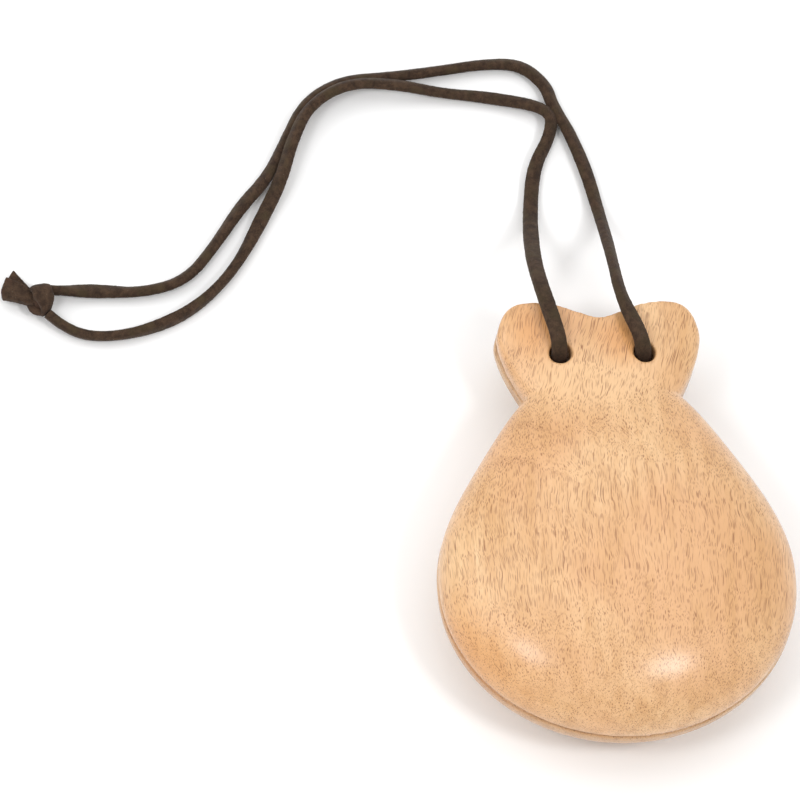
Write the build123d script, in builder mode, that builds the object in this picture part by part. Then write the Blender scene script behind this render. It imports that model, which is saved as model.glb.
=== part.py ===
from build123d import *
import math
import os

# Castanets: two domed wooden shells laced together by one suede lace.
# Row frame: +Z up out of the front shell, +Y towards the ears, +X to the right.
# The origin is under the middle of the shells, on the surface that the back shell lies on.

# Bowl of one shell
bowl_width = 64.0
bowl_drop = 29.3  # from the bowl's centre to its lowest rim
dome_height = 13.5
rim_height = 1.0  # the straight land round the bowl, up to where the dome starts
shoulder_round = 8.0  # the bowl stays nearly full width this far above its centre

# Neck and ears
neck_rise = 35.9  # from the bowl's centre to the notch
neck_width = 27.8
neck_height = 7.8
neck_edge = 2.2
ear_rise = 53.9  # from the bowl's centre to the tops of the ears
ear_width = 36.4
ear_height = 6.2
ear_edge = 2.4
ear_crown = 0.4  # how much thicker an ear is between its holes than ear_height
ear_corner = 5.0  # how far the ears' outer corners are rounded off
corner_run = 2.0  # the corner's curve goes on this far down the side of the ear
corner_spare = 0.4  # and ends this far outside it, so that it runs out smoothly
ear_valley = 3.6  # dip of the top edge between the ears

# Hollow of one shell
hollow_width = 38.0
hollow_depth = 8.0

# Bridge, bevel and lace holes
closed_gap = 0.2  # between the two mating faces when the castanets are shut
opening_angle = 10.0
bevel_spare = 1.0  # degrees that the bevels leave past the opening angle
hole_diameter = 4.0
hole_spacing = 15.1
hole_below_top = 10.6  # from the tops of the ears down to the holes
bridge_below_hole = 4.0  # from the holes down to the line on which the shells rock

# Lace
lace_diameter = 2.8
lace_clearance = 0.15  # between the lace and the wood that it lies on
bridge_bend = 2.5  # centreline radius where the lace turns on the back shell
strand_start_depth = 4.0  # the strands start this far down inside the front holes
knot_length = 5.0
knot_diameter = 5.8
tail_thickness = 1.7

shell_length = bowl_drop + ear_rise
bowl_y = bowl_drop - shell_length / 2
hole_rise = ear_rise - hole_below_top
hole_y = bowl_y + hole_rise
bridge_rise = hole_rise - bridge_below_hole
half_bevel = (opening_angle + bevel_spare) / 2
mating_z = dome_height + closed_gap / 2
ear_face_z = mating_z + closed_gap / 2 + ear_height
ear_back_z = mating_z - closed_gap / 2 - ear_height
cut_margin = 5.0  # how far the cutting shapes run past what they cut


def dome_section(rise, half_width, edge, crown):
    """One cross-section of a shell: a flat base, two short upright edges and a half ellipse."""
    with BuildSketch(Plane.XZ.offset(-rise)) as section:
        with BuildLine():
            dome = EllipticalCenterArc(
                (0, edge), half_width, crown - edge, start_angle=0, arc_size=180
            )
            Polyline(dome @ 1, (-half_width, 0), (half_width, 0), dome @ 0)
        make_face()
    return section.sketch


# Stations from the bowl to the notch and on to the ears: (rise, half width, edge, crown).
# The first one mirrors the third, so that the dome is level where it meets the lower bowl.
half_bowl = bowl_width / 2
bowl_to_neck = neck_rise - shoulder_round
shoulder_station = (shoulder_round, half_bowl - 1.0, rim_height + 0.1, dome_height - 0.06)
body_stations = [
    (-shoulder_round, *shoulder_station[1:]),
    (0.0, half_bowl, rim_height, dome_height),
    shoulder_station,
    (
        shoulder_round + 0.3 * bowl_to_neck,
        neck_width / 2 + 0.8 * (half_bowl - neck_width / 2) - 1.0,
        rim_height + 0.5,
        dome_height - 0.14 * (dome_height - neck_height),
    ),
    (
        shoulder_round + 0.63 * bowl_to_neck,
        neck_width / 2 + 0.43 * (half_bowl - neck_width / 2),
        rim_height + 1.0,
        dome_height - 0.52 * (dome_height - neck_height),
    ),
    (neck_rise, neck_width / 2, neck_edge, neck_height),
]
ear_length = ear_rise - neck_rise
ear_stations = [
    (neck_rise, neck_width / 2, neck_edge, neck_height),
    (neck_rise + 0.25 * ear_length, 0.89 * ear_width / 2, ear_edge - 0.2, ear_height + 0.7),
    (neck_rise + 0.6 * ear_length, ear_width / 2, ear_edge, ear_height + 0.2),
    (ear_rise + 1.0, 0.93 * ear_width / 2, ear_edge, ear_height - 0.2),
]

# Lower bowl: a quarter ellipse turned about the bowl's centre, then squashed along Y.
with BuildPart() as lower_bowl:
    with BuildSketch(Plane.XZ):
        with BuildLine():
            rim_arc = EllipticalCenterArc(
                (0, rim_height), half_bowl, dome_height - rim_height, start_angle=0, arc_size=90
            )
            Polyline(rim_arc @ 1, (0, 0), (half_bowl, 0), rim_arc @ 0)
        make_face()
    revolve(axis=Axis.Z)
    scale(by=(1, bowl_drop / half_bowl, 1))
    split(bisect_by=Plane.XZ, keep=Keep.TOP)

# Shoulders, from the bowl's centre up to the notch.
with BuildPart() as shoulders:
    loft([dome_section(*station) for station in body_stations])
    split(bisect_by=Plane.XZ, keep=Keep.BOTTOM)

# Ears, from the notch up. Their top edge dips in the middle and has rounded corners.
with BuildPart() as ears:
    loft([dome_section(*station) for station in ear_stations])
    with BuildSketch(Plane.XY.offset(-cut_margin)):
        corner_x = ear_width / 2 - ear_corner
        side_x = ear_width / 2 + corner_spare
        side_y = ear_rise - ear_corner - corner_run
        far_y = ear_rise + cut_margin
        far_x = ear_width / 2 + cut_margin
        with BuildLine():
            valley = Spline(
                (-corner_x, ear_rise),
                (0, ear_rise - ear_valley),
                (corner_x, ear_rise),
                tangents=((1, 0), (1, 0)),
            )
            right_corner = Spline(
                valley @ 1, (side_x, side_y), tangents=((1, 0), (0.25, -1))
            )
            left_corner = Spline(
                valley @ 0, (-side_x, side_y), tangents=((-1, 0), (-0.25, -1))
            )
            Polyline(
                right_corner @ 1,
                (far_x, side_y),
                (far_x, far_y),
                (-far_x, far_y),
                (-far_x, side_y),
                left_corner @ 1,
            )
        make_face()
    extrude(amount=dome_height + 2 * cut_margin, mode=Mode.SUBTRACT)

# One whole shell, with its mating face on the XY plane and its bowl's centre at the origin.
hollow_radius = ((hollow_width / 2) ** 2 + hollow_depth**2) / (2 * hollow_depth)
with BuildPart() as shell_blank:
    add(lower_bowl.part)
    add(shoulders.part)
    add(ears.part)
    with Locations((0, 0, hollow_depth - hollow_radius)):
        Sphere(hollow_radius, mode=Mode.SUBTRACT)
    # The bevel above the bridge lets the shells rock open.
    with BuildSketch(Plane.YZ.offset(-ear_width)):
        bevel_end = ear_rise + cut_margin
        bevel_rise = (bevel_end - bridge_rise) * math.tan(math.radians(half_bevel))
        with BuildLine():
            Polyline(
                (bridge_rise, 0),
                (bevel_end, bevel_rise),
                (bevel_end, -cut_margin),
                (bridge_rise, -cut_margin),
                close=True,
            )
        make_face()
    extrude(amount=2 * ear_width, mode=Mode.SUBTRACT)
    with Locations((0, hole_rise, 0)):
        with GridLocations(hole_spacing, 1, 2, 1):
            Cylinder(hole_diameter / 2, 4 * dome_height, mode=Mode.SUBTRACT)

with BuildPart() as front_shell:
    with Locations((0, bowl_y, mating_z + closed_gap / 2)):
        add(shell_blank.part)

with BuildPart() as back_shell:
    with Locations((0, bowl_y, mating_z - closed_gap / 2)):
        add(shell_blank.part.mirror(Plane.XY))

# The held lace: down through the left ears, across the back shell and up through the right ears.
half_spacing = hole_spacing / 2
bridge_z = ear_back_z - ear_crown - lace_diameter / 2 - lace_clearance
strand_start_z = ear_face_z - strand_start_depth
with BuildPart() as lace_bridge:
    with BuildLine():
        bridge_path = FilletPolyline(
            (-half_spacing, hole_y, strand_start_z),
            (-half_spacing, hole_y, bridge_z),
            (half_spacing, hole_y, bridge_z),
            (half_spacing, hole_y, strand_start_z),
            radius=bridge_bend,
        )
    with BuildSketch(Plane(bridge_path @ 0, z_dir=bridge_path % 0)):
        Circle(lace_diameter / 2)
    sweep()

# Route of each free strand, from inside its front hole to the knot.
lace_z = lace_diameter / 2
over_z = 4.2  # where the left strand lies on the right one
left_route = [
    (-half_spacing, hole_y, strand_start_z),
    (-half_spacing, hole_y, 22.4),
    (-9.6, 41.0, 22.3),
    (-10.1, 50.1, 16.4),
    (-9.4, 59.0, 8.0),
    (-8.2, 67.5, lace_z),
    (-7.0, 76.0, lace_z + 0.1),
    (-3.7, 84.2, lace_z),
    (-4.9, 89.1, lace_z + 0.1),
    (-13.7, 90.1, lace_z),
    (-22.4, 91.7, lace_z + 0.1),
    (-30.4, 92.4, 3.6),
    (-39.5, 92.6, over_z),
    (-46.7, 87.9, over_z),
    (-50.3, 80.7, over_z),
    (-52.6, 74.2, 3.4),
    (-55.8, 67.7, lace_z),
    (-62.1, 57.6, lace_z + 0.1),
    (-69.3, 49.6, lace_z),
    (-78.2, 45.3, lace_z + 0.1),
    (-87.4, 43.2, lace_z),
    (-93.6, 44.9, lace_z + 0.2),
    (-96.3, 48.7, lace_z + 0.8),
]
right_route = [
    (half_spacing, hole_y, strand_start_z),
    (half_spacing, hole_y, 22.4),
    (4.2, 40.5, 22.3),
    (3.7, 49.8, 16.4),
    (4.2, 58.9, 8.0),
    (3.8, 67.3, lace_z),
    (2.4, 75.7, lace_z + 0.1),
    (0.2, 83.5, lace_z),
    (-1.3, 88.7, lace_z + 0.1),
    (-3.2, 93.4, lace_z),
    (-7.5, 96.8, lace_z + 0.1),
    (-14.3, 97.5, lace_z),
    (-22.9, 96.3, lace_z + 0.1),
    (-31.1, 95.1, lace_z + 0.1),
    (-40.1, 94.7, lace_z),
    (-47.4, 90.3, lace_z + 0.1),
    (-51.7, 82.2, lace_z),
    (-55.0, 75.2, lace_z + 0.1),
    (-60.5, 69.7, lace_z),
    (-65.3, 61.8, lace_z + 0.1),
    (-70.8, 54.9, lace_z),
    (-78.9, 52.6, lace_z + 0.1),
    (-87.2, 52.7, lace_z),
    (-95.8, 52.6, lace_z + 0.8),
]


def arc_radii(route):
    """The arc at each corner of a route: as large as its two runs allow."""
    points = [Vector(*point) for point in route]
    radii = []
    for before, corner, after in zip(points, points[1:], points[2:]):
        turn = math.radians((corner - before).get_angle(after - corner))
        shorter = min((corner - before).length, (after - corner).length)
        radii.append(0.45 * shorter / math.tan(turn / 2))
    return radii


with BuildPart() as left_strand:
    with BuildLine():
        left_path = FilletPolyline(*left_route, radius=arc_radii(left_route))
    with BuildSketch(Plane(left_path @ 0, z_dir=left_path % 0)):
        Circle(lace_diameter / 2)
    sweep()

with BuildPart() as right_strand:
    with BuildLine():
        right_path = FilletPolyline(*right_route, radius=arc_radii(right_route))
    with BuildSketch(Plane(right_path @ 0, z_dir=right_path % 0)):
        Circle(lace_diameter / 2)
    sweep()

# The knot in both strands, as a plump spheroid lying on the surface.
with BuildPart() as knot_blank:
    Sphere(knot_diameter / 2)
    scale(by=(knot_length / knot_diameter, 1, 1))

with BuildPart() as lace_knot:
    with Locations((-97.6, 50.9, knot_diameter / 2)):
        add(knot_blank.part)

# The two cut ends: flat pieces of lace that leave the knot one above the other.
lower_tail_z = 0.4
upper_tail_z = lower_tail_z + tail_thickness + 0.2
with BuildPart() as lower_tail:
    with BuildSketch(Plane.XY.offset(lower_tail_z)):
        with BuildLine():
            Polyline(
                (-98.6, 49.4),
                (-98.7, 53.0),
                (-102.1, 57.0),
                (-103.5, 54.4),
                (-100.9, 50.7),
                close=True,
            )
        make_face()
    extrude(amount=tail_thickness)

with BuildPart() as upper_tail:
    with BuildSketch(Plane.XY.offset(upper_tail_z)):
        with BuildLine():
            Polyline(
                (-98.5, 49.1),
                (-98.5, 52.3),
                (-102.6, 54.7),
                (-104.2, 53.5),
                (-103.9, 50.3),
                close=True,
            )
        make_face()
    extrude(amount=tail_thickness)

nodes = {
    "front_shell": front_shell,
    "back_shell": back_shell,
    "lace_bridge": lace_bridge,
    "left_strand": left_strand,
    "right_strand": right_strand,
    "lace_knot": lace_knot,
    "lower_tail": lower_tail,
    "upper_tail": upper_tail,
}
os.makedirs("parts", exist_ok=True)
for name, node in nodes.items():
    node.part.label = name
    export_step(node.part, f"parts/{name}.step")

print("shell length", round(shell_length, 2), "mm, thickness shut", round(2 * mating_z, 2), "mm")
for name, route, strand, path in (
    ("left_strand", left_route, left_strand, left_path),
    ("right_strand", right_route, right_strand, right_path),
):
    length = path.length
    expected = math.pi * lace_diameter**2 / 4 * length
    print(name, "length", round(length, 1), "mm, radii", [round(r, 1) for r in arc_radii(route)])
    print(name, "volume over section times length", round(strand.part.volume / expected, 4))
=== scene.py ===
# Castanets: two domed shells of pale wood, laced together with brown suede.
# Everything is in metres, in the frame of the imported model.

import bpy
import math
from mathutils import Matrix, Vector, noise


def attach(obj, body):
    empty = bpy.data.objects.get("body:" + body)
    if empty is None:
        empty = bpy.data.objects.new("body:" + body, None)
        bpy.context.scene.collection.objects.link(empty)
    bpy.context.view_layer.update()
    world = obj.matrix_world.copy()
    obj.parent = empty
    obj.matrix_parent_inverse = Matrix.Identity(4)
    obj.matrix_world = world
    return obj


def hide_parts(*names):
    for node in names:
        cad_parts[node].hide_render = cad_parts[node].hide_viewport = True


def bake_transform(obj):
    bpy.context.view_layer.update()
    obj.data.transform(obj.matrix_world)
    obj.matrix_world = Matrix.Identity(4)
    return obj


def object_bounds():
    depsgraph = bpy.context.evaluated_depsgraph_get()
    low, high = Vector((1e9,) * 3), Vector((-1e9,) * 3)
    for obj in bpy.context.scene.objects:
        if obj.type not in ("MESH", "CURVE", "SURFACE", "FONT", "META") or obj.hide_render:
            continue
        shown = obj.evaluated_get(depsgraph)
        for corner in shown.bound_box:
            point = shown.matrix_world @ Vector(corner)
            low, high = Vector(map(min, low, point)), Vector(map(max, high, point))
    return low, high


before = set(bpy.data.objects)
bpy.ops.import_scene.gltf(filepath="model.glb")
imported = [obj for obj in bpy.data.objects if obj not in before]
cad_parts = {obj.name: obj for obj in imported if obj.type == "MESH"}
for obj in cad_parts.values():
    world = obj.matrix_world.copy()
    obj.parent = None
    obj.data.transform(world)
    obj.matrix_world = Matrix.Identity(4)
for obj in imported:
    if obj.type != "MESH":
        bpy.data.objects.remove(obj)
cadLow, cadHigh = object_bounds()
mm = 0.001
print("stage: frame loaded")


def directionFrom(azimuth, elevation):
    # from the shells to a camera or a lamp, with both angles in degrees
    azimuth = math.radians(azimuth)
    elevation = math.radians(elevation)
    return Vector((
        math.sin(azimuth) * math.cos(elevation),
        -math.cos(azimuth) * math.cos(elevation),
        math.sin(elevation),
    ))


studioCamera = {
    "target": (-0.0376, 0.0205, 0.0232),  # the point in the middle of the view
    "azimuth": -18.3,                     # from the bowl end, turning right
    "elevation": 63.55,
    "roll": 15.7,
    "distance": 4.0,
    "fieldWidth": 0.1418,                 # seen at the target
    "sensor": 36.0,
    "nearest": 0.05,                      # what is nearer or farther isn't drawn
    "farthest": 20.0,
}


def placeCamera(values):
    back = directionFrom(values["azimuth"], values["elevation"])
    lensData = bpy.data.cameras.new("studioCamera")
    lensData.sensor_width = values["sensor"]
    lensData.lens = values["sensor"] * values["distance"] / values["fieldWidth"]
    lensData.clip_start = values["nearest"]
    lensData.clip_end = values["farthest"]
    camera = bpy.data.objects.new("studioCamera", lensData)
    bpy.context.scene.collection.objects.link(camera)
    turn = (-back).to_track_quat("-Z", "Y").to_matrix()
    turn = Matrix.Rotation(math.radians(values["roll"]), 3, back) @ turn
    camera.matrix_world = Matrix.LocRotScale(
        Vector(values["target"]) + back * values["distance"], turn.to_quaternion(), None)
    bpy.context.scene.camera = camera


placeCamera(studioCamera)
print("stage: camera placed")


def deselectAll():
    if bpy.context.object and bpy.context.object.mode != "OBJECT":
        bpy.ops.object.mode_set(mode="OBJECT")
    bpy.ops.object.select_all(action="DESELECT")


def workOn(obj):
    deselectAll()
    obj.select_set(True)
    bpy.context.view_layer.objects.active = obj


def applyAll(obj):
    workOn(obj)
    for modifier in list(obj.modifiers):
        bpy.ops.object.modifier_apply(modifier=modifier.name)


def settlePlace(obj):
    workOn(obj)
    bpy.ops.object.transform_apply(location=True, rotation=True, scale=True)


def smoothShade(obj):
    workOn(obj)
    bpy.ops.object.shade_smooth()


def joinInto(first, others):
    workOn(first)
    for obj in others:
        obj.select_set(True)
    bpy.ops.object.join()
    return first


lace = {
    "width": 2.85 * mm,
    "thickness": 1.85 * mm,
    "length": 0.188,         # each free strand, from its hole to the knot
    "ringStep": 0.4 * mm,
    "around": 20,
    "squareness": 2.7,       # 2 is an ellipse, more is boxier
    "fray": 0.05 * mm,       # how far the nap and the cut edges wander
    "frayRates": (2100, 5200),
    "fineFray": 0.6,         # share of the quicker wander in the fray
    "swell": 0.05,           # how much the width changes along the lace
    "widthRate": 180,        # how quickly the width and the thickness change
    "thicknessRate": 140,
    "bluntness": 0.03,       # how wide a rounded end stays, squared
}

# Each stretch has a route, and turns: at fractions of the way along it, how far the flat of the
# lace has turned, in degrees.
leftLace = {
    "route": [
        (-0.00755, 0.0310, 0.0159), (-0.00755, 0.0310, 0.0224), (-0.0100, 0.0409, 0.0223),
        (-0.0104, 0.0500, 0.0164), (-0.0093, 0.0591, 0.0080), (-0.0080, 0.0674, 0.0014),
        (-0.0068, 0.0764, 0.0015), (-0.0031, 0.0829, 0.0016), (-0.0026, 0.0879, 0.0023),
        (-0.0142, 0.0907, 0.0014), (-0.0222, 0.0915, 0.0015), (-0.0305, 0.0924, 0.0036),
        (-0.0395, 0.0926, 0.0042), (-0.0469, 0.0881, 0.0043), (-0.0505, 0.0808, 0.0043),
        (-0.0526, 0.0742, 0.0034), (-0.0560, 0.0679, 0.0014), (-0.0618, 0.0573, 0.0015),
        (-0.0693, 0.0496, 0.0014), (-0.0782, 0.0452, 0.0015), (-0.0873, 0.0438, 0.0014),
        (-0.0933, 0.0455, 0.0016), (-0.0964, 0.0484, 0.0022),
    ],
    "turns": [
        (0.0, 0), (0.10, 25), (0.20, 25), (0.24, 48), (0.28, 65), (0.33, 90),
        (0.37, 76), (0.42, 68), (0.46, 84), (0.52, 76), (0.61, 96), (0.66, 90),
        (0.72, 70), (0.79, 106), (0.87, 130), (0.94, 100), (1.0, 100),
    ],
    "seed": 1.7,
}

rightLace = {
    "route": [
        (0.00755, 0.0310, 0.0159), (0.00755, 0.0310, 0.0224), (0.0038, 0.0403, 0.0223),
        (0.0038, 0.0499, 0.0164), (0.0044, 0.0590, 0.0080), (0.0044, 0.0675, 0.0014),
        (0.0028, 0.0757, 0.0015), (0.0002, 0.0839, 0.0014), (-0.0024, 0.0890, 0.0015),
        (-0.0032, 0.0929, 0.0014), (-0.0075, 0.0971, 0.0015), (-0.0143, 0.0973, 0.0014),
        (-0.0229, 0.0959, 0.0015), (-0.0311, 0.0949, 0.0015), (-0.0401, 0.0944, 0.0014),
        (-0.0472, 0.0901, 0.0015), (-0.0514, 0.0821, 0.0014), (-0.0549, 0.0751, 0.0015),
        (-0.0602, 0.0694, 0.0014), (-0.0653, 0.0618, 0.0015), (-0.0709, 0.0550, 0.0014),
        (-0.0789, 0.0526, 0.0015), (-0.0872, 0.0531, 0.0014), (-0.0958, 0.0530, 0.0022),
    ],
    "turns": [
        (0.0, 0), (0.05, 45), (0.09, 80), (0.13, 88), (0.24, 80), (0.30, 65),
        (0.36, 75), (0.42, 65), (0.48, 85), (0.60, 80), (0.69, 100), (0.76, 73),
        (0.82, 95), (0.91, 84), (0.96, 50), (1.0, 95),
    ],
    "seed": 8.3,
}

bridgeLace = {  # down through the left ears, across the back, up through the right ears
    "route": [
        (-0.00755, 0.0310, 0.0161), (-0.00755, 0.0310, 0.0125), (-0.00755, 0.0310, 0.0090),
        (-0.0074, 0.0310, 0.0056), (-0.0040, 0.0310, 0.0052), (0.0, 0.0310, 0.0055),
        (0.0040, 0.0310, 0.0052), (0.0074, 0.0310, 0.0056), (0.00755, 0.0310, 0.0090),
        (0.00755, 0.0310, 0.0125), (0.00755, 0.0310, 0.0161),
    ],
    "turns": [(0.0, 0), (0.06, 0), (0.24, 90), (0.76, 90), (0.94, 180), (1.0, 180)],
    "seed": 4.9,
}


def routeLine(points):
    # a smooth spline with the route's points as its control points
    curve = bpy.data.curves.new("routeLine", "CURVE")
    curve.dimensions = "3D"
    curve.resolution_u = 24
    spline = curve.splines.new("NURBS")
    spline.points.add(len(points) - 1)
    for control, place in zip(spline.points, points):
        control.co = (*place, 1.0)
    spline.order_u = 3
    spline.use_endpoint_u = True
    holder = bpy.data.objects.new("routeLine", curve)
    bpy.context.scene.collection.objects.link(holder)
    bpy.context.view_layer.update()
    mesh = bpy.data.meshes.new_from_object(holder)
    line = [vertex.co.copy() for vertex in mesh.vertices]
    bpy.data.objects.remove(holder)
    bpy.data.curves.remove(curve)
    bpy.data.meshes.remove(mesh)
    return line


def evenLine(line, step):
    # the same line again, with its points one step apart
    lengths = [0.0]
    for a, b in zip(line, line[1:]):
        lengths.append(lengths[-1] + (b - a).length)
    count = max(2, round(lengths[-1] / step))
    even = []
    index = 0
    for n in range(count + 1):
        want = lengths[-1] * n / count
        while index < len(lengths) - 2 and lengths[index + 1] < want:
            index += 1
        part = (want - lengths[index]) / max(lengths[index + 1] - lengths[index], 1e-9)
        even.append(line[index].lerp(line[index + 1], min(max(part, 0.0), 1.0)))
    return even, lengths[-1]


def carriedFrames(line, across):
    # tangent and across direction at each point, carried along without twisting
    frames = []
    before = None
    across = Vector(across)
    for n, point in enumerate(line):
        ahead = line[min(n + 1, len(line) - 1)] - line[max(n - 1, 0)]
        ahead.normalize()
        if before is not None:
            across = before.rotation_difference(ahead) @ across
        across = (across - ahead * across.dot(ahead)).normalized()
        frames.append((point, ahead, across.copy()))
        before = ahead
    return frames


def turnAt(turns, fraction):
    for (a, angleA), (b, angleB) in zip(turns, turns[1:]):
        if fraction <= b:
            part = (fraction - a) / (b - a)
            part = part * part * (3 - 2 * part)
            return math.radians(angleA + (angleB - angleA) * part)
    return math.radians(turns[-1][1])


def laceOutline():
    # the cut through the lace, a rounded box that reaches 1 each way
    power = 2 / lace["squareness"]
    outline = []
    for k in range(lace["around"]):
        angle = 2 * math.pi * k / lace["around"]
        c, s = math.cos(angle), math.sin(angle)
        outline.append((math.copysign(abs(c) ** power, c), math.copysign(abs(s) ** power, s)))
    return outline


def frayAt(place, rates, seed=0.0):
    slow = noise.noise(place * rates[0] + Vector((seed, 0, 0)))
    quick = noise.noise(place * rates[1] + Vector((0, seed, 0)))
    return slow + lace["fineFray"] * quick


def wrapLaceMap(mesh):
    # round the lace one way and along it the other, with its seam on the first corner
    around = lace["around"]
    layer = mesh.uv_layers.new(name="alongLace")
    for polygon in mesh.polygons:
        corners = [(i, *divmod(mesh.loops[i].vertex_index, around)) for i in polygon.loop_indices]
        meetsSeam = any(k == around - 1 for _, _, k in corners)
        for i, ring, k in corners:
            if k == 0 and meetsSeam:
                k = around
            layer.data[i].uv = (k / around, ring * lace["ringStep"] / lace["width"])


def laceStrip(name, points, turns, seed, across=(1, 0, 0), width=lace["width"],
              thickness=lace["thickness"], ends=0.0):
    # a flat, soft strip that follows a smooth line and slowly twists
    line, length = evenLine(routeLine(points), lace["ringStep"])
    around = lace["around"]
    outline = laceOutline()
    verts = []
    for n, (point, ahead, side) in enumerate(carriedFrames(line, across)):
        fraction = n / (len(line) - 1)
        along = fraction * length
        turned = Matrix.Rotation(turnAt(turns, fraction), 3, ahead) @ side
        face = ahead.cross(turned)
        swell = 1 + lace["swell"] * noise.noise(Vector((along * lace["widthRate"], seed, 3.1)))
        slim = 1 + lace["swell"] * noise.noise(Vector((along * lace["thicknessRate"], seed, 9.4)))
        toEnd = min(fraction, 1 - fraction) * length
        if ends and toEnd < ends:
            narrow = math.sqrt(max(lace["bluntness"], 1 - (1 - toEnd / ends) ** 2))
            swell *= narrow
            slim *= narrow
        for x, y in outline:
            offset = turned * (x * width / 2 * swell) + face * (y * thickness / 2 * slim)
            place = point + offset
            fray = frayAt(place, lace["frayRates"], seed)
            verts.append(place + offset.normalized() * fray * lace["fray"])
    rings = len(line)
    faces = []
    for n in range(rings - 1):
        for k in range(around):
            a = n * around + k
            b = n * around + (k + 1) % around
            faces.append((a, b, b + around, a + around))
    faces.append(tuple(range(around))[::-1])
    faces.append(tuple((rings - 1) * around + k for k in range(around)))
    mesh = bpy.data.meshes.new(name)
    mesh.from_pydata([tuple(v) for v in verts], [], faces)
    mesh.update()
    wrapLaceMap(mesh)
    strip = bpy.data.objects.new(name, mesh)
    bpy.context.scene.collection.objects.link(strip)
    smoothShade(strip)
    return strip, line, length


leftStrand, leftLine, leftLength = laceStrip(
    "leftStrand", leftLace["route"], leftLace["turns"], leftLace["seed"])
rightStrand, rightLine, rightLength = laceStrip(
    "rightStrand", rightLace["route"], rightLace["turns"], rightLace["seed"])
laceBridge, _, _ = laceStrip(
    "laceBridge", bridgeLace["route"], bridgeLace["turns"], bridgeLace["seed"])
print("stage: lace laid,", round(leftLength, 4), round(rightLength, 4), "m a strand")


knot = {  # in mm from its centre
    "centre": (-0.0976, 0.0509, 0.0029),
    "overBand": {  # goes once round the strands
        "points": [
            (-0.3, 1.9, -1.2), (-0.2, 2.1, 0.2), (0.0, 1.5, 1.75), (0.2, 0.2, 2.1),
            (0.5, -1.1, 1.6), (0.8, -2.1, 0.3), (0.8, -2.0, -1.1), (0.3, -0.8, -1.9),
            (-0.1, 0.8, -1.8), (-0.3, 1.8, -1.2),
        ],
        "width": 3.7,
        "seed": 2.2,
    },
    "sideLoop": {  # comes out below the band
        "points": [
            (1.4, -1.2, -0.9), (0.9, -1.7, -0.8), (0.2, -1.75, -0.7), (-0.9, -1.6, -0.7),
            (-1.35, -1.0, -0.7), (-1.3, 0.0, -0.8), (-0.9, 1.0, -0.9), (0.0, 1.4, -1.0),
        ],
        "width": 2.4,
        "seed": 6.1,
    },
    "across": (1, 0.2, 0),
    "thickness": 1.5,
    "roundedEnds": 0.6,
    "core": (1.7, 1.9, 1.8),
    "pinchFrom": -0.5,   # below this the band is drawn together
    "pinchOver": 1.6,
    "pinchAt": 0.7,
    "pinch": 0.5,
}


def pinchBand(band, centre):
    middle = centre.x + knot["pinchAt"] * mm
    for vertex in band.data.vertices:
        below = (knot["pinchFrom"] - (vertex.co.y - centre.y) / mm) / knot["pinchOver"]
        drawn = knot["pinch"] * min(max(below, 0.0), 1.0)
        vertex.co.x = middle + (vertex.co.x - middle) * (1 - drawn)


def makeKnot():
    centre = Vector(knot["centre"])
    bands = []
    for label in ("overBand", "sideLoop"):
        values = knot[label]
        band, _, _ = laceStrip(
            label, [centre + Vector(p) * mm for p in values["points"]], [(0, 0), (1, 0)],
            values["seed"], across=knot["across"], width=values["width"] * mm,
            thickness=knot["thickness"] * mm, ends=knot["roundedEnds"] * mm)
        bands.append(band)
    pinchBand(bands[0], centre)
    deselectAll()
    bpy.ops.mesh.primitive_uv_sphere_add(segments=24, ring_count=16, radius=1.0, location=centre)
    core = bpy.context.object
    core.scale = [v * mm for v in knot["core"]]
    settlePlace(core)
    made = joinInto(bands[0], [bands[1], core])
    made.name = "laceKnot"
    made.data.name = "laceKnot"
    smoothShade(made)
    return made


laceKnot = makeKnot()


# the two cut ends, each snipped from flat suede
tails = {
    "lowerTail": {
        "start": (-0.1009, 0.0533, 0.00125), "size": 11.0, "thickness": 1.4, "lift": 0.25,
        "cuts": [  # (a point on the cut, the direction that is cut away), in mm from the start
            ((2.2, 0.0), (1.0, 0.0)), ((-1.0, -1.2), (-0.42, -0.91)), ((0.3, 2.15), (0.80, 0.60)),
            ((-1.7, 3.05), (-0.85, 0.53)), ((-2.5, 0.6), (-0.99, 0.13)),
        ],
    },
    "upperTail": {
        "start": (-0.1015, 0.0519, 0.0031), "size": 11.0, "thickness": 1.4, "lift": -0.35,
        "cuts": [
            ((2.6, 0.0), (1.0, 0.0)), ((-0.8, -1.4), (-0.275, -0.96)), ((-0.2, 2.25), (0.48, 0.88)),
            ((-2.6, 2.1), (-0.92, 0.39)), ((-3.0, -0.1), (-0.99, -0.10)),
        ],
    },
    "faceSize": 0.16,
    "liftOver": 3.0,         # mm along the tail in which the whole lift comes
    "softening": 3,          # passes of smoothing
    "frayRates": (2300, 5600),
}


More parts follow.
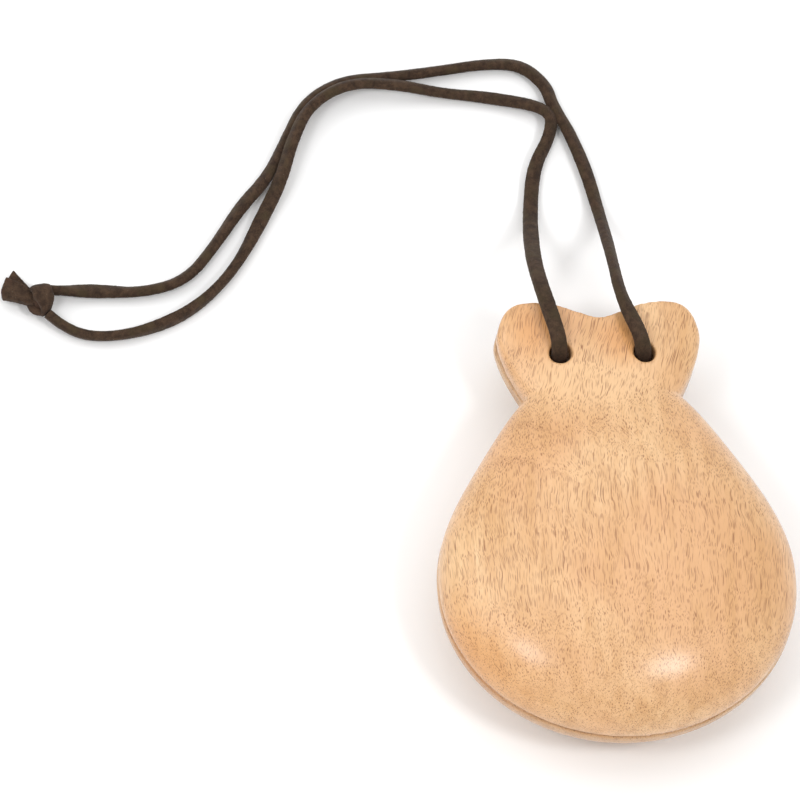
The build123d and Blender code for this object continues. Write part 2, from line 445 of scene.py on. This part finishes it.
def makeTail(name):
    values = tails[name]
    deselectAll()
    start = Vector(values["start"])
    bpy.ops.mesh.primitive_plane_add(size=values["size"] * mm, location=start)
    tail = bpy.context.object
    tail.name = name
    tail.data.name = name
    settlePlace(tail)
    bpy.ops.object.mode_set(mode="EDIT")
    for place, away in values["cuts"]:
        bpy.ops.mesh.select_all(action="SELECT")
        spot = start + Vector((place[0], place[1], 0)) * mm
        bpy.ops.mesh.bisect(plane_co=spot, plane_no=(away[0], away[1], 0), clear_outer=True)
    bpy.ops.mesh.select_all(action="SELECT")
    bpy.ops.mesh.extrude_region_move(
        TRANSFORM_OT_translate={"value": (0, 0, values["thickness"] * mm)})
    bpy.ops.mesh.select_all(action="SELECT")
    bpy.ops.mesh.normals_make_consistent(inside=False)
    bpy.ops.transform.translate(value=(0, 0, -values["thickness"] * mm / 2))
    bpy.ops.object.mode_set(mode="OBJECT")
    grain = tail.modifiers.new("evenFaces", "REMESH")
    grain.mode = "VOXEL"
    grain.voxel_size = tails["faceSize"] * mm
    soften = tail.modifiers.new("softEdges", "SMOOTH")
    soften.iterations = tails["softening"]
    soften.factor = 0.5
    applyAll(tail)
    for vertex in tail.data.vertices:
        along = (vertex.co.x - start.x) / (tails["liftOver"] * mm)
        vertex.co += vertex.normal * frayAt(vertex.co, tails["frayRates"]) * lace["fray"]
        vertex.co.z += values["lift"] * mm * along * along
    smoothShade(tail)
    return tail


lowerTail = makeTail("lowerTail")
upperTail = makeTail("upperTail")
print("stage: knot tied and ends cut")


shell = {
    "weld": 0.002 * mm,
    "faceSize": 0.36 * mm,  # side of the even faces that the edges are rounded with
    "rounding": 8,          # passes of smoothing
}


def roundedShell(name, node):
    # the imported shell's own shape, with its edges eased as sanding leaves them
    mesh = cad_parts[node].data.copy()
    mesh.name = name
    made = bpy.data.objects.new(name, mesh)
    bpy.context.scene.collection.objects.link(made)
    workOn(made)
    bpy.ops.mesh.customdata_custom_splitnormals_clear()
    bpy.ops.object.mode_set(mode="EDIT")
    bpy.ops.mesh.select_all(action="SELECT")
    bpy.ops.mesh.remove_doubles(threshold=shell["weld"])
    bpy.ops.object.mode_set(mode="OBJECT")
    even = made.modifiers.new("evenFaces", "REMESH")
    even.mode = "VOXEL"
    even.voxel_size = shell["faceSize"]
    ease = made.modifiers.new("easedEdges", "SMOOTH")
    ease.iterations = shell["rounding"]
    ease.factor = 0.5
    applyAll(made)
    bpy.ops.object.shade_smooth()
    return made


frontShell = roundedShell("frontShell", "front_shell")
backShell = roundedShell("backShell", "back_shell")
print("stage: shells rounded,", len(frontShell.data.polygons), "faces each")


def addNode(tree, kind, place, inputs=None, **settings):
    made = tree.nodes.new(kind)
    made.location = place
    for key, value in settings.items():
        setattr(made, key, value)
    for key, value in (inputs or {}).items():
        if isinstance(value, bpy.types.NodeSocket):
            tree.links.new(value, made.inputs[key])
        else:
            made.inputs[key].default_value = value
    return made


def mathNode(tree, operation, place, *values):
    return addNode(tree, "ShaderNodeMath", place, dict(enumerate(values)),
                   operation=operation).outputs[0]


def rangeNode(tree, place, value, low, high, toLow=0.0, toHigh=1.0):
    inputs = {"Value": value, "From Min": low, "From Max": high,
              "To Min": toLow, "To Max": toHigh}
    return addNode(tree, "ShaderNodeMapRange", place, inputs,
                   interpolation_type="SMOOTHSTEP").outputs["Result"]


def mixColours(tree, place, factor, a, b):
    return addNode(tree, "ShaderNodeMix", place, {0: factor, 6: a, 7: b},
                   data_type="RGBA").outputs[2]


def scaledBy(tree, place, spot, scale):
    return addNode(tree, "ShaderNodeMapping", place, {"Vector": spot, "Scale": scale}).outputs[0]


def noiseNode(tree, place, spot, **inputs):
    settings = {"noise_dimensions": "4D"} if "W" in inputs else {}
    return addNode(tree, "ShaderNodeTexNoise", place,
                   {"Vector": spot, **inputs}, **settings).outputs


def groupNode(tree, group, place, inputs):
    return addNode(tree, "ShaderNodeGroup", place, inputs, node_tree=group).outputs


def newGroup(name, inputs, outputs):
    group = bpy.data.node_groups.new(name, "ShaderNodeTree")
    for label, kind, value in inputs:
        socket = group.interface.new_socket(name=label, in_out="INPUT", socket_type=kind)
        if value is not None:
            socket.default_value = value
    for label, kind in outputs:
        group.interface.new_socket(name=label, in_out="OUTPUT", socket_type=kind)
    entry = group.nodes.new("NodeGroupInput")
    entry.location = (-1200, 0)
    leave = group.nodes.new("NodeGroupOutput")
    leave.location = (900, 0)
    return group, entry.outputs, leave.inputs


def newMaterial(name):
    made = bpy.data.materials.new(name)
    made.use_nodes = True
    made.node_tree.nodes.clear()
    return made, made.node_tree


def showSurface(tree, place, values):
    surface = addNode(tree, "ShaderNodeBsdfPrincipled", place, values)
    end = addNode(tree, "ShaderNodeOutputMaterial", (place[0] + 300, place[1]))
    tree.links.new(surface.outputs[0], end.inputs["Surface"])


def linear(r, g, b):
    # a colour as it is seen, 0 to 255, made linear
    def channel(v):
        v /= 255
        return v / 12.92 if v <= 0.04045 else ((v + 0.055) / 1.055) ** 2.4
    return (channel(r), channel(g), channel(b), 1.0)


def makePoreStreaks():
    # open pores of the wood: dark dashes that run with the grain, dots where it is cut across
    group, given, out = newGroup(
        "poreStreaks",
        [("Vector", "NodeSocketVector", None), ("Spacing", "NodeSocketFloat", 0.5),
         ("Stretch", "NodeSocketFloat", 9.0), ("Width", "NodeSocketFloat", 0.34),
         ("Amount", "NodeSocketFloat", 0.6)],
        [("Pores", "NodeSocketFloat")])
    wave = noiseNode(group, (-950, -250), given["Vector"], Scale=0.11, Detail=2.0)["Color"]
    wave = addNode(group, "ShaderNodeVectorMath", (-760, -250),
                   {0: wave, 1: (2.4, 0.0, 2.4)}, operation="MULTIPLY").outputs[0]
    moved = addNode(group, "ShaderNodeVectorMath", (-580, -100),
                    {0: given["Vector"], 1: wave}, operation="ADD").outputs[0]
    parts = addNode(group, "ShaderNodeSeparateXYZ", (-400, -100), {0: moved}).outputs
    long = mathNode(group, "MULTIPLY", (-400, -300), given["Spacing"], given["Stretch"])
    x = mathNode(group, "DIVIDE", (-220, 60), parts[0], given["Spacing"])
    y = mathNode(group, "DIVIDE", (-220, -100), parts[1], long)
    z = mathNode(group, "DIVIDE", (-220, -260), parts[2], given["Spacing"])
    cell = addNode(group, "ShaderNodeCombineXYZ", (-40, -100), {0: x, 1: y, 2: z}).outputs[0]
    pores = addNode(group, "ShaderNodeTexVoronoi", (120, -100),
                    {"Vector": cell, "Scale": 1.0, "Randomness": 1.0}, feature="F1").outputs
    chance = addNode(group, "ShaderNodeSeparateColor", (300, -220), {0: pores["Color"]}).outputs
    edge = mathNode(group, "MULTIPLY", (300, 140), given["Width"], 0.45)
    shape = rangeNode(group, (480, 60), pores["Distance"], given["Width"], edge)
    missing = mathNode(group, "SUBTRACT", (480, -200), 1.0, given["Amount"])
    allThere = mathNode(group, "ADD", (480, -340), missing, 0.15)
    kept = rangeNode(group, (640, -160), chance[0], missing, allThere)
    depth = rangeNode(group, (640, -360), chance[1], 0.0, 1.0, 0.45, 1.0)
    made = mathNode(group, "MULTIPLY", (760, 40), shape, kept)
    made = mathNode(group, "MULTIPLY", (820, -80), made, depth)
    group.links.new(made, out["Pores"])
    return group


def makeGrowthFigure():
    # layers of growth, which show as soft arches where the dome cuts through them
    group, given, out = newGroup(
        "growthFigure",
        [("Vector", "NodeSocketVector", None), ("Centre", "NodeSocketFloat", -14.0),
         ("Spacing", "NodeSocketFloat", 1.7), ("Warp", "NodeSocketFloat", 1.2)],
        [("Bands", "NodeSocketFloat"), ("Lines", "NodeSocketFloat")])
    parts = addNode(group, "ShaderNodeSeparateXYZ", (-1000, 0), {0: given["Vector"]}).outputs
    sideways = mathNode(group, "SUBTRACT", (-820, 160), parts[0], given["Centre"])
    bowed = mathNode(group, "MULTIPLY", (-640, 160), sideways, sideways)
    bowed = mathNode(group, "MULTIPLY", (-460, 160), bowed, 0.016)
    rise = mathNode(group, "MULTIPLY", (-820, 0), parts[1], 0.30)
    depth = mathNode(group, "MULTIPLY", (-820, -160), parts[2], 0.42)
    layer = mathNode(group, "ADD", (-460, 0), rise, depth)
    layer = mathNode(group, "ADD", (-280, 60), layer, bowed)
    sway = noiseNode(group, (-640, -320), given["Vector"], Scale=0.055, Detail=3.0)[0]
    sway = mathNode(group, "MULTIPLY", (-460, -320), sway, given["Warp"])
    sway = mathNode(group, "MULTIPLY", (-280, -320), sway, 3.0)
    layer = mathNode(group, "ADD", (-100, 0), layer, sway)
    layer = mathNode(group, "DIVIDE", (60, 0), layer, given["Spacing"])
    phase = mathNode(group, "FRACT", (220, 0), layer)
    toAndFro = mathNode(group, "PINGPONG", (300, 200), layer, 1.0)
    bands = rangeNode(group, (400, 120), toAndFro, 0.0, 1.0)
    lines = rangeNode(group, (400, -120), phase, 0.62, 0.97)
    fade = rangeNode(group, (400, -320), phase, 1.0, 0.97)
    lines = mathNode(group, "MULTIPLY", (620, -160), lines, fade)
    group.links.new(bands, out["Bands"])
    group.links.new(lines, out["Lines"])
    return group


def makeSuedeNap():
    # brushed suede: mottled tone, lying nap and small pale flecks
    group, given, out = newGroup(
        "suedeNap",
        [("Vector", "NodeSocketVector", None), ("Dark", "NodeSocketColor", (0.05, 0.03, 0.02, 1)),
         ("Light", "NodeSocketColor", (0.1, 0.07, 0.05, 1)),
         ("Tint", "NodeSocketColor", (0.08, 0.06, 0.02, 1)),
         ("Flecks", "NodeSocketFloat", 0.5)],
        [("Color", "NodeSocketColor"), ("Height", "NodeSocketFloat"),
         ("Roughness", "NodeSocketFloat")])
    spot = given["Vector"]
    mottle = noiseNode(group, (-900, 200), spot, Scale=0.75, Detail=5.0, Roughness=0.6)[0]
    nap = noiseNode(group, (-900, 0), spot, Scale=4.2, Detail=5.0, Roughness=0.7)[0]
    patch = noiseNode(group, (-900, -200), spot, Scale=0.30, Detail=4.0, W=3.0)[0]
    flecks = addNode(group, "ShaderNodeTexVoronoi", (-900, -420),
                     {"Vector": spot, "Scale": 1.9}, feature="F1").outputs
    tone = mathNode(group, "ADD", (-700, 120),
                    mathNode(group, "MULTIPLY", (-800, 300), mottle, 0.55),
                    mathNode(group, "MULTIPLY", (-800, 60), nap, 0.55))
    tone = rangeNode(group, (-520, 120), tone, 0.40, 0.70)
    colour = mixColours(group, (-320, 120), tone, given["Dark"], given["Light"])
    tinted = rangeNode(group, (-520, -180), patch, 0.46, 0.66, 0.0, 0.5)
    colour = mixColours(group, (-120, 80), tinted, colour, given["Tint"])
    small = rangeNode(group, (-520, -420), flecks["Distance"], 0.16, 0.05)
    rare = addNode(group, "ShaderNodeSeparateColor", (-700, -560), {0: flecks["Color"]}).outputs[0]
    rare = rangeNode(group, (-520, -600), rare, 0.80, 0.86)
    fleck = mathNode(group, "MULTIPLY", (-320, -420), small, rare)
    fleck = mathNode(group, "MULTIPLY", (-160, -420), fleck, given["Flecks"])
    colour = mixColours(group, (80, 60), fleck, colour, (0.20, 0.17, 0.13, 1))
    height = mathNode(group, "ADD", (80, -160), nap,
                      mathNode(group, "MULTIPLY", (-80, -200), mottle, 0.6))
    rough = rangeNode(group, (80, -320), nap, 0.3, 0.7, 0.82, 0.97)
    group.links.new(colour, out["Color"])
    group.links.new(height, out["Height"])
    group.links.new(rough, out["Roughness"])
    return group


poreStreaks = makePoreStreaks()
growthFigure = makeGrowthFigure()
suedeNap = makeSuedeNap()
objectToMm = (1000.0, 1000.0, 1000.0)

wood = {
    "pale": linear(231, 192, 145),
    "tan": linear(206, 157, 104),
    "peach": linear(219, 169, 122),
    "amber": linear(208, 142, 76),
    "figure": linear(176, 124, 80),
    "pore": linear(126, 75, 38),
    "grainTilt": (0.05, 0.0, 0.03),     # radians that the grain leans off the long side
    "leanFrom": 21.0,                   # mm: the grain leans more from here up, into the ears
    "leanEasing": 30.0,
    "earLean": 0.26,
    "frontOffset": (0.0, 0.0, 0.0),
    "backOffset": (31.0, -12.0, 44.0),
    "backPaintedShade": 0.80,                 # the back shell's wood is darkened all over: painted shade for its shadowed underside
    "coarsePores": {"Spacing": 0.32, "Stretch": 24.0, "Width": 0.40},
    "finePores": {"Spacing": 0.20, "Stretch": 13.0, "Width": 0.52},
    "coarseTone": 0.70,                 # how dark the pores are
    "fineTone": 0.62,
    "fewestPores": 0.62,
    "bandTone": 0.10,
    "lineTone": 0.14,
    # places on the shell, each with its centre and its size in mm
    "swirl": ((-14.0, 8.0, 24.0), (21.0, 22.0, 20.0)),
    "streaky": ((-16.0, -8.0, 24.0), (20.0, 24.0, 20.0)),
    "paleNeck": ((-3.0, 25.0, 20.0), (22.0, 12.0, 12.0)),
    # painted shade: amber darkening of the lower-left rim, which faces downwards
    "shadedRim": ((-24.0, -25.0, 16.0), (22.0, 18.0, 9.0)),
    "warmEar": ((-11.5, 36.5, 20.0), (8.0, 9.0, 5.0)),
    "warmHole": ((4.0, 33.5, 20.0), (7.0, 8.0, 5.0)),
    # how strongly the amber spots are mixed in, the painted rim shade among them
    "paling": 0.6,
    "warmthAndShade": 0.62,
    "lacquer": {"IOR": 1.45, "Specular IOR Level": 0.45, "Coat Weight": 0.7,
                "Coat Roughness": 0.23, "Coat IOR": 1.5},
}


def placeInShell(tree, offset, tilt):
    # positions in mm, turned a little so that the grain leans, and more so in the ears
    spot = addNode(tree, "ShaderNodeTexCoord", (-2700, 0)).outputs["Object"]
    turned = addNode(tree, "ShaderNodeMapping", (-2500, 0),
                     {"Vector": spot, "Location": offset, "Rotation": tilt,
                      "Scale": objectToMm}).outputs[0]
    rise = addNode(tree, "ShaderNodeSeparateXYZ", (-2500, -250), {0: spot}).outputs[1]
    rise = mathNode(tree, "MULTIPLY", (-2420, -400), rise, 1000.0)
    above = mathNode(tree, "SUBTRACT", (-2350, -250), rise, wood["leanFrom"])
    square = mathNode(tree, "MULTIPLY", (-2280, -500), above, above)
    square = mathNode(tree, "ADD", (-2200, -400), square, wood["leanEasing"])
    root = mathNode(tree, "SQRT", (-2120, -400), square)
    lean = mathNode(tree, "ADD", (-2120, -250), above, root)
    lean = mathNode(tree, "MULTIPLY", (-2060, -250), lean, -0.5 * wood["earLean"])
    shift = addNode(tree, "ShaderNodeCombineXYZ", (-2000, -100), {0: lean}).outputs[0]
    leant = addNode(tree, "ShaderNodeVectorMath", (-1980, 0), {0: turned, 1: shift},
                    operation="ADD")
    return spot, leant.outputs[0]


def blobMask(tree, place, spot, blob):
    # 1 near the blob's centre, fading to 0 at its edge
    centre, size = blob
    scaled = addNode(tree, "ShaderNodeMapping", place,
                     {"Vector": spot, "Location": [-c / s for c, s in zip(centre, size)],
                      "Scale": [1000.0 / s for s in size]}).outputs[0]
    far = addNode(tree, "ShaderNodeVectorMath", (place[0] + 200, place[1]),
                  {0: scaled}, operation="LENGTH").outputs["Value"]
    return rangeNode(tree, (place[0] + 380, place[1]), far, 1.0, 0.15)


def woodGround(tree, grain, spot, tones, ribbon, fibre, bands, lines):
    # the wood's own colour, before its pores
    broad = noiseNode(tree, (-1700, 500), grain, Scale=0.035, Detail=2.0, W=1.3)[0]
    colour = mixColours(tree, (-1300, 450), rangeNode(tree, (-1500, 500), broad, 0.34, 0.66),
                        tones["pale"], tones["peach"])
    toTan = rangeNode(tree, (-1500, 280), ribbon, 0.36, 0.70, 0.0, 0.75)
    colour = mixColours(tree, (-1100, 400), toTan, colour, tones["tan"])
    fibreTone = rangeNode(tree, (-1300, 60), fibre, 0.30, 0.70, 0.0, 0.42)
    colour = mixColours(tree, (-900, 350), fibreTone, colour, tones["tan"])
    bandTone = mathNode(tree, "MULTIPLY", (-1200, -700), bands, wood["bandTone"])
    colour = mixColours(tree, (-700, 300), bandTone, colour, tones["figure"])
    lineTone = mathNode(tree, "MULTIPLY", (-900, -700), lines, wood["lineTone"])
    colour = mixColours(tree, (-500, 280), lineTone, colour, tones["figure"])
    paleNeck = blobMask(tree, (-1900, -2150), spot, wood["paleNeck"])
    paleNeck = mathNode(tree, "MULTIPLY", (-1000, -1900), paleNeck, wood["paling"])
    colour = mixColours(tree, (-400, 500), paleNeck, colour, tones["pale"])
    # amber spots: painted shade along the lower-left rim, where the dome turns down away from the
    # light, and a warmer tone on the left ear and by the right hole
    shadedRim = blobMask(tree, (-1900, -1400), spot, wood["shadedRim"])
    warmEar = blobMask(tree, (-1900, -1650), spot, wood["warmEar"])
    warmHole = blobMask(tree, (-1900, -1900), spot, wood["warmHole"])
    warmAndShade = mathNode(tree, "MAXIMUM", (-1300, -1500), shadedRim, warmEar)
    warmAndShade = mathNode(tree, "MAXIMUM", (-1150, -1600), warmAndShade, warmHole)
    warmAndShade = mathNode(tree, "MULTIPLY", (-1000, -1500), warmAndShade, wood["warmthAndShade"])
    return mixColours(tree, (-300, 260), warmAndShade, colour, tones["amber"])


def poresInShell(tree, grain, spot, ribbon, lines):
    # coarse and fine pores, thicker in some places than in others
    streaky = blobMask(tree, (-1900, -1150), spot, wood["streaky"])
    amount = rangeNode(tree, (-1400, -150), ribbon, 0.35, 0.66, wood["fewestPores"], 1.0)
    amount = mathNode(tree, "ADD", (-1200, -250), amount,
                      mathNode(tree, "MULTIPLY", (-1400, -350), lines, 0.5))
    amount = mathNode(tree, "ADD", (-1050, -300), amount,
                      mathNode(tree, "MULTIPLY", (-1200, -450), streaky, 0.12))
    return [groupNode(tree, poreStreaks, place,
                      {"Vector": grain, "Amount": amount, **wood[label]})["Pores"]
            for label, place in (("coarsePores", (-850, -150)), ("finePores", (-850, -400)))]


def shellWood(name, offset, shade):
    # shade scales every tone; below 1 it paints shade over the whole shell
    tones = {label: tuple(v * shade for v in wood[label][:3]) + (1.0,)
             for label in ("pale", "tan", "peach", "amber", "figure", "pore")}
    made, tree = newMaterial(name)
    spot, grain = placeInShell(tree, offset, wood["grainTilt"])
    ribbon = noiseNode(tree, (-1700, 250), scaledBy(tree, (-1900, 250), grain, (0.30, 0.035, 0.30)),
                       Scale=1.0, Detail=4.0, Roughness=0.6)[0]
    fibre = noiseNode(tree, (-1700, 20), scaledBy(tree, (-1900, 20), grain, (3.4, 0.28, 3.4)),
                      Scale=1.0, Detail=5.0, Roughness=0.7)[0]
    figure = groupNode(tree, growthFigure, (-1700, -500), {"Vector": grain})
    swirl = blobMask(tree, (-1900, -900), spot, wood["swirl"])
    lines = mathNode(tree, "MULTIPLY", (-1400, -600), figure["Lines"], swirl)

    colour = woodGround(tree, grain, spot, tones, ribbon, fibre, figure["Bands"], lines)
    coarse, fine = poresInShell(tree, grain, spot, ribbon, lines)
    fineTone = mathNode(tree, "MULTIPLY", (-600, -380), fine, wood["fineTone"])
    colour = mixColours(tree, (-100, 240), fineTone, colour, tones["pore"])
    coarseTone = mathNode(tree, "MULTIPLY", (-600, -120), coarse, wood["coarseTone"])
    colour = mixColours(tree, (100, 220), coarseTone, colour, tones["pore"])

    dips = mathNode(tree, "ADD", (-350, -300), coarse,
                    mathNode(tree, "MULTIPLY", (-450, -450), fine, 0.5))
    level = mathNode(tree, "SUBTRACT", (-200, -300),
                     mathNode(tree, "MULTIPLY", (-350, -500), fibre, 0.35), dips)
    bump = addNode(tree, "ShaderNodeBump", (100, -300),
                   {"Height": level, "Strength": 0.22, "Distance": 0.06 * mm})
    gloss = rangeNode(tree, (100, -80), fibre, 0.3, 0.7, 0.40, 0.52)
    gloss = mathNode(tree, "ADD", (260, -80), gloss,
                     mathNode(tree, "MULTIPLY", (100, -200), coarse, 0.2))
    showSurface(tree, (450, 200), {"Base Color": colour, "Roughness": gloss,
                                   "Normal": bump.outputs[0], **wood["lacquer"]})
    return made


suede = {
    "dark": linear(44, 31, 23),
    "light": linear(77, 59, 45),
    "olive": linear(67, 57, 38),
    "rust": linear(75, 51, 40),
    "flecks": 0.6,
    "mapRound": (1.3, 0.9),  # mm from the middle of the strip to its nap, across and through
    "finish": {"Specular IOR Level": 0.2, "Sheen Weight": 0.08, "Sheen Roughness": 0.45,
               "Sheen Tint": (0.75, 0.72, 0.68, 1.0)},
}


def aroundStrip(tree):
    # wraps the strip's own map round, so that the nap follows it and has no seam
    flat = addNode(tree, "ShaderNodeUVMap", (-1600, 0), uv_map="alongLace").outputs[0]
    parts = addNode(tree, "ShaderNodeSeparateXYZ", (-1400, 0), {0: flat}).outputs
    angle = mathNode(tree, "MULTIPLY", (-1200, 100), parts[0], 2 * math.pi)
    x = mathNode(tree, "COSINE", (-1040, 160), angle)
    x = mathNode(tree, "MULTIPLY", (-880, 160), x, suede["mapRound"][0])
    y = mathNode(tree, "SINE", (-1040, 0), angle)
    y = mathNode(tree, "MULTIPLY", (-880, 0), y, suede["mapRound"][1])
    z = mathNode(tree, "MULTIPLY", (-880, -160), parts[1], lace["width"] * 1000)
    return addNode(tree, "ShaderNodeCombineXYZ", (-700, 0), {0: x, 1: y, 2: z}).outputs[0]


def suedeFinish(name, tint, alongStrip):
    made, tree = newMaterial(name)
    if alongStrip:
        spot = aroundStrip(tree)
    else:
        spot = addNode(tree, "ShaderNodeTexCoord", (-1100, 0)).outputs["Object"]
        spot = scaledBy(tree, (-900, 0), spot, objectToMm)
    nap = groupNode(tree, suedeNap, (-400, 0), {
        "Vector": spot, "Dark": suede["dark"], "Light": suede["light"], "Tint": tint,
        "Flecks": suede["flecks"]})
    bump = addNode(tree, "ShaderNodeBump", (-100, -250),
                   {"Height": nap["Height"], "Strength": 0.5, "Distance": 0.18 * mm})
    showSurface(tree, (150, 100), {"Base Color": nap["Color"], "Roughness": nap["Roughness"],
                                   "Normal": bump.outputs[0], **suede["finish"]})
    return made


def giveMaterial(obj, material):
    obj.data.materials.clear()
    obj.data.materials.append(material)


giveMaterial(frontShell, shellWood("frontShellWood", wood["frontOffset"], 1.0))
# the back shell's tones are darkened: painted shade for its underside
giveMaterial(backShell, shellWood("backShellWood", wood["backOffset"], wood["backPaintedShade"]))
strandSuede = suedeFinish("strandSuede", suede["olive"], True)
knotSuede = suedeFinish("knotSuede", suede["rust"], False)
for strip in (leftStrand, rightStrand, laceBridge):
    giveMaterial(strip, strandSuede)
for piece in (laceKnot, lowerTail, upperTail):
    giveMaterial(piece, knotSuede)
print("stage: materials made")


# how the pieces move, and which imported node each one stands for
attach(frontShell, "front_shell")
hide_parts("front_shell")
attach(backShell, "back_shell")
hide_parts("back_shell")

for strand, line, node in ((leftStrand, leftLine, "left_strand"),
                           (rightStrand, rightLine, "right_strand")):
    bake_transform(strand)
    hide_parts(node)
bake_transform(laceBridge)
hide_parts("lace_bridge")
for piece, node in ((laceKnot, "lace_knot"), (lowerTail, "lower_tail"), (upperTail, "upper_tail")):
    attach(piece, "back_shell")
    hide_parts(node)

print("stage: pieces set to move")


studio = {
    "floorSize": 8.0,
    "floorColour": (0.96, 0.96, 0.96, 1.0),
    "floorRoughness": 0.9,
    "floorShine": 0.1,
    "skyColour": (1, 1, 1, 1),
    "skyStrength": 0.68,
    "lampAim": (-0.01, 0.0, 0.0),
    "lamps": [  # name, azimuth, elevation, distance, size, power
        ("leftSoftbox", -60.0, 56.0, 1.1, 0.24, 2.2),
        ("rightSoftbox", 47.0, 60.0, 1.1, 0.21, 2.8),
        ("sideSoftbox", -105.0, 42.0, 1.3, 0.90, 3.4),
        ("topSoftbox", 170.0, 62.0, 1.5, 1.6, 6.5),
    ],
}


def makeFloor():
    deselectAll()
    bpy.ops.mesh.primitive_plane_add(size=studio["floorSize"], location=(0, 0, cadLow.z))
    floor = bpy.context.object
    floor.name = "studioFloor"
    settlePlace(floor)
    made = bpy.data.materials.new("studioFloor")
    made.use_nodes = True
    paint = made.node_tree.nodes["Principled BSDF"]
    paint.inputs["Base Color"].default_value = studio["floorColour"]
    paint.inputs["Roughness"].default_value = studio["floorRoughness"]
    paint.inputs["Specular IOR Level"].default_value = studio["floorShine"]
    giveMaterial(floor, made)


def makeLamp(name, azimuth, elevation, distance, size, power):
    away = directionFrom(azimuth, elevation)
    data = bpy.data.lights.new(name, "AREA")
    data.shape = "SQUARE"
    data.size = size
    data.energy = power
    lamp = bpy.data.objects.new(name, data)
    lamp.location = Vector(studio["lampAim"]) + away * distance
    lamp.rotation_mode = "QUATERNION"
    lamp.rotation_quaternion = (-away).to_track_quat("-Z", "Y")
    bpy.context.scene.collection.objects.link(lamp)


def makeSky():
    sky = bpy.data.worlds.new("studioSky")
    sky.use_nodes = True
    glow = sky.node_tree.nodes["Background"]
    glow.inputs["Color"].default_value = studio["skyColour"]
    glow.inputs["Strength"].default_value = studio["skyStrength"]
    bpy.context.scene.world = sky


makeFloor()
for lampValues in studio["lamps"]:
    makeLamp(*lampValues)
makeSky()
bpy.context.scene.view_settings.view_transform = "Standard"
print("stage: floor and light")
